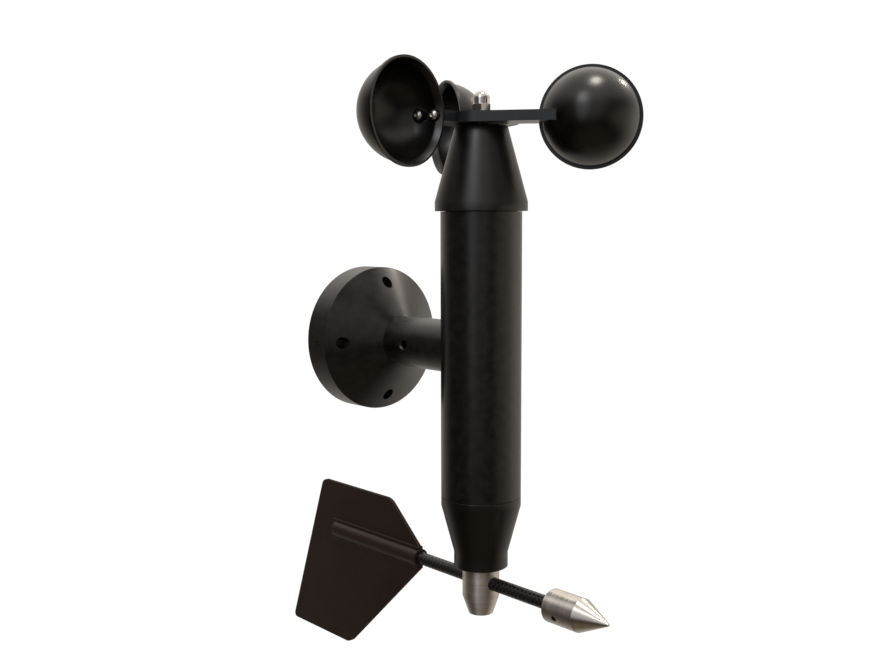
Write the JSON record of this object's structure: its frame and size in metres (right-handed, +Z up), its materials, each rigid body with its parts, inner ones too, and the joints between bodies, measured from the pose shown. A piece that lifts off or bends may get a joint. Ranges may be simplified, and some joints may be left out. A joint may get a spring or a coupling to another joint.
{
  "type": "cup anemometer",
  "caption": "Wind sensor for a mast: cup rotor on top of an upright tube, tail vane with pointed counterweight below, side arm with coned bolt flange.",
  "frame": {"origin": "centre of the flange's mounting face", "axes": "+Z up along the upright sensor axis; +Y out of the mounting face, towards the mast; the side arm runs along -Y to the sensor axis"},
  "size_m": [0.1849, 0.3747, 0.4804],
  "materials": {
    "anodised_body": "black hard-anodised, satin",
    "cup_black": "black, semi-gloss",
    "fin_plastic": "dark brown-black, moulded",
    "carbon_rod": "woven carbon-fibre tube, satin",
    "stainless": "turned stainless steel",
    "screws": "bright stainless steel",
    "bearing_steel": "ground bearing steel",
    "rubber": "black rubber",
    "circuit_board": "green solder mask",
    "black_plastic": "moulded",
    "nylon": "natural nylon",
    "brass": "turned",
    "magnet": "nickel-plated"
  },
  "bodies": {
    "housing": {"mounting_flange": "anodised_body", "side_arm": "anodised_body", "arm_set_screw": "screws", "cable_gland": "rubber", "main_tube": "anodised_body", "upper_bearing_head": "anodised_body", "lower_bearing_head": "anodised_body", "upper_o_ring": "rubber", "lower_o_ring": "rubber", "rotor_upper_outer_ring": "bearing_steel", "rotor_lower_outer_ring": "bearing_steel", "vane_upper_outer_ring": "bearing_steel", "vane_lower_outer_ring": "bearing_steel", "rotor_bearing_circlip": "bearing_steel", "vane_bearing_circlip": "bearing_steel", "speed_board": "circuit_board", "slot_sensor": "black_plastic", "speed_board_standoff_1": "nylon", "speed_board_standoff_2": "nylon", "direction_board": "circuit_board", "angle_sensor": "black_plastic", "direction_board_standoff_1": "nylon", "direction_board_standoff_2": "nylon"},
    "rotor": {"rotor_shaft": "stainless", "rotor_bearing_spacer": "stainless", "spider_sleeve": "stainless", "slot_disc": "black_plastic", "rotor_upper_inner_ring": "bearing_steel", "rotor_lower_inner_ring": "bearing_steel", "cup_spider": "anodised_body", "cup_1": "cup_black", "cup_2": "cup_black", "cup_3": "cup_black", "nut_washer": "stainless", "cap_nut": "stainless", "cup_1_screw_1": "screws", "cup_1_screw_2": "screws", "cup_2_screw_1": "screws", "cup_2_screw_2": "screws", "cup_3_screw_1": "screws", "cup_3_screw_2": "screws"},
    "rotor_balls": {"rotor_upper_ball_set": "bearing_steel", "rotor_lower_ball_set": "bearing_steel"},
    "vane": {"vane_shaft": "stainless", "vane_bearing_spacer": "stainless", "vane_upper_inner_ring": "bearing_steel", "vane_lower_inner_ring": "bearing_steel", "vane_hub": "stainless", "hub_rod_screw": "screws", "vane_rod": "carbon_rod", "counterweight": "stainless", "counterweight_screw": "screws", "tail_fin": "fin_plastic", "magnet_holder": "brass", "direction_magnet": "magnet"},
    "vane_balls": {"vane_upper_ball_set": "bearing_steel", "vane_lower_ball_set": "bearing_steel"}
  },
  "joints": [
    {"name": "rotor_spin", "type": "hinge", "parent": "housing", "child": "rotor", "pos_m": [0, -0.138, 0], "axis": [0, 0, 1], "continuous": true},
    {"name": "rotor_balls_roll", "type": "hinge", "parent": "housing", "child": "rotor_balls", "pos_m": [0, -0.138, 0], "axis": [0, 0, 1], "continuous": true},
    {"name": "vane_turn", "type": "hinge", "parent": "housing", "child": "vane", "pos_m": [0, -0.138, 0], "axis": [0, 0, 1], "continuous": true},
    {"name": "vane_balls_roll", "type": "hinge", "parent": "housing", "child": "vane_balls", "pos_m": [0, -0.138, 0], "axis": [0, 0, 1], "continuous": true}
  ],
  "couplings": [
    {"joint": "rotor_balls_roll", "follows": "rotor_spin", "ratio": 0.3733},
    {"joint": "vane_balls_roll", "follows": "vane_turn", "ratio": 0.4}
  ]
}
